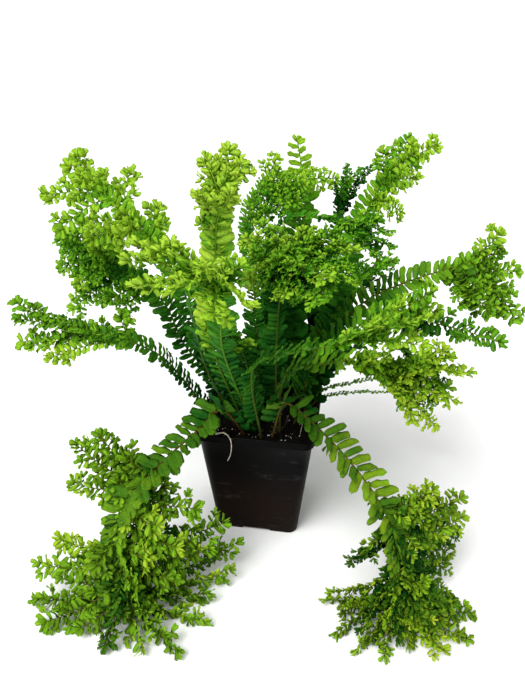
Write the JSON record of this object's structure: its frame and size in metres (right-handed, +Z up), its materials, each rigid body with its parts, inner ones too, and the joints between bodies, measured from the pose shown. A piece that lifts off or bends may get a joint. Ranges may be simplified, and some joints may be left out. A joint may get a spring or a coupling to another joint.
{
  "type": "potted fern",
  "caption": "Crested button fern with arching, forked fronds of ruffled leaflets, growing in soil in a square black plastic nursery pot that stands by itself.",
  "frame": {"origin": "centre of the pot's underside, on the surface it stands on", "axes": "+Z up out of the pot, -Y the front side that the fullest low fronds hang over, +X to the right seen from the front"},
  "size_m": [0.3712, 0.3354, 0.3371],
  "materials": {
    "plastic": "satin",
    "soil": "matte",
    "leaf": "satin",
    "stalk": "matte",
    "root": "matte"
  },
  "bodies": {
    "root": {"pot": "plastic", "soil": "soil", "frond_left_high": "leaf", "frond_left_mid": "leaf", "frond_left_low": "leaf", "frond_column": "leaf", "frond_forward": "leaf", "frond_back_arch": "leaf", "frond_centre": "leaf", "frond_centre_right": "leaf", "frond_top": "leaf", "frond_right_high": "leaf", "frond_right_back": "leaf", "frond_right": "leaf", "frond_right_mid": "leaf", "frond_right_forward": "leaf", "frond_right_low": "leaf", "frond_front_right": "leaf", "frond_front_left": "leaf", "frond_back": "leaf", "frond_back_left": "leaf", "frond_back_right": "leaf", "frond_back_low_left": "leaf", "frond_back_low_right": "leaf", "frond_short": "leaf", "frond_inner_left": "leaf", "young_frond_upper": "leaf", "young_frond_lower": "leaf", "old_stalk_left": "stalk", "old_stalk_right": "stalk", "root_over_rim": "root"}
  },
  "joints": []
}
